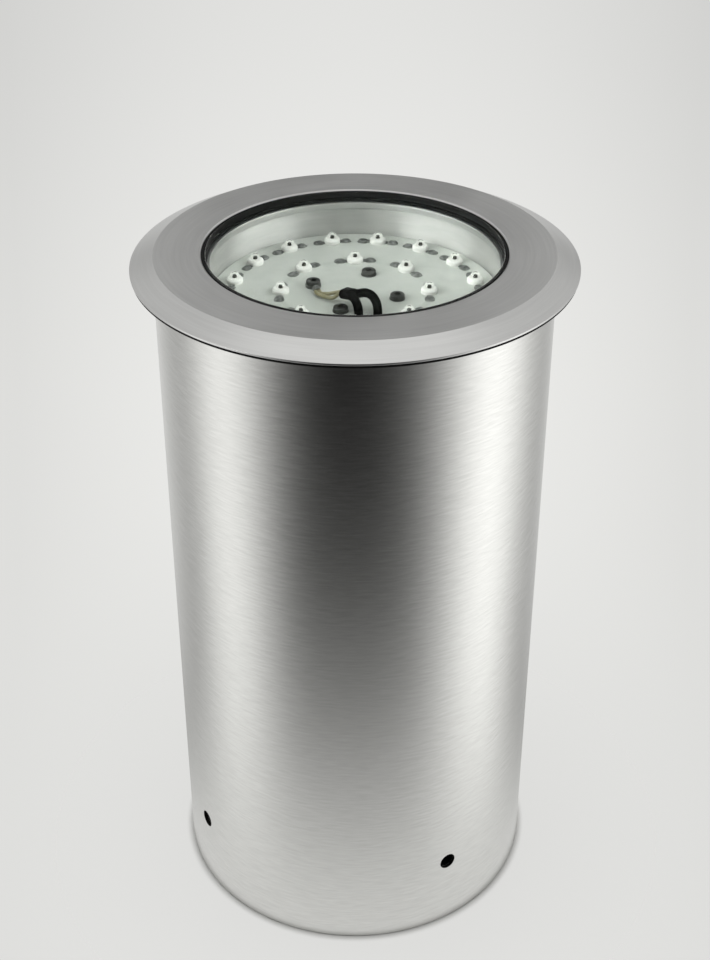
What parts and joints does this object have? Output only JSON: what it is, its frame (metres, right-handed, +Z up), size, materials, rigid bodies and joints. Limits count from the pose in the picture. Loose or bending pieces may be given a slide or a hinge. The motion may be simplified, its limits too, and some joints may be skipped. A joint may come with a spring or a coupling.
{
  "type": "in-ground light",
  "caption": "Round in-ground light: a lift-out lamp with a bevelled steel trim ring and flush glass over rings of LEDs, in a tall brushed steel sleeve.",
  "frame": {"origin": "centre of the sleeve's open foot, on the plane of its lower edge", "axes": "+Z up along the sleeve's axis to the glass, -Y to the front"},
  "size_m": [0.2, 0.2, 0.341],
  "materials": {
    "sleeve_steel": "fine circumferential brushing",
    "ring_steel": "turned and brushed, polished rim",
    "lens_glass": "clear, polished",
    "black_rubber": "matt",
    "can_steel": "bright drawn steel",
    "fastener_steel": "plain steel",
    "spring_steel": "bright strip",
    "board_white": "white lacquer over aluminium",
    "led_white": "moulded white",
    "led_clear": "clear cap",
    "led_die": "dark chip",
    "solder": "soldered tin",
    "pillar_metal": "turned bar",
    "tray_metal": "sheet",
    "driver_plastic": "moulded black",
    "potting": "cast resin",
    "terminal_plastic": "moulded ivory",
    "gland_metal": "nickel plated",
    "black_cover": "smooth sheath",
    "tan_cover": "smooth sheath",
    "feed_cover": "smooth sheath"
  },
  "bodies": {
    "sleeve_body": {"sleeve": "sleeve_steel"},
    "light_insert": {"trim_ring": "ring_steel", "flange_gasket": "black_rubber", "glass_lens": "lens_glass", "glass_gasket": "black_rubber", "lamp_can": "can_steel", "can_flange": "can_steel", "can_base": "can_steel", "can_seal": "black_rubber", "flange_screws": "fastener_steel", "spring_clip_1": "spring_steel", "spring_clip_2": "spring_steel", "spring_clip_3": "spring_steel", "led_board": "board_white", "outer_led_bodies": "led_white", "outer_led_domes": "led_clear", "outer_led_dies": "led_die", "outer_led_leads": "solder", "inner_led_bodies": "led_white", "inner_led_domes": "led_clear", "inner_led_dies": "led_die", "inner_led_leads": "solder", "board_washers": "fastener_steel", "board_screws": "fastener_steel", "earth_lug": "solder", "board_pillars": "pillar_metal", "tray_spacers": "pillar_metal", "driver_tray": "tray_metal", "driver_case": "driver_plastic", "driver_potting": "potting", "driver_lid": "driver_plastic", "lid_screws": "fastener_steel", "tray_screws": "fastener_steel", "tray_nuts": "fastener_steel", "terminal_block": "terminal_plastic", "terminal_screws": "fastener_steel", "gland_body": "gland_metal", "gland_seal": "black_rubber", "gland_washer": "black_rubber", "gland_locknut": "gland_metal", "gland_nut": "gland_metal", "lead_boot": "black_cover", "black_lead_left": "black_cover", "black_lead_right": "black_cover", "tan_lead_left": "tan_cover", "tan_lead_right": "tan_cover", "feed_leads": "feed_cover"}
  },
  "joints": [
    {"name": "lift_out", "type": "slide", "parent": "sleeve_body", "child": "light_insert", "axis": [0, 0, 1], "range_m": [0, 0.2]}
  ]
}
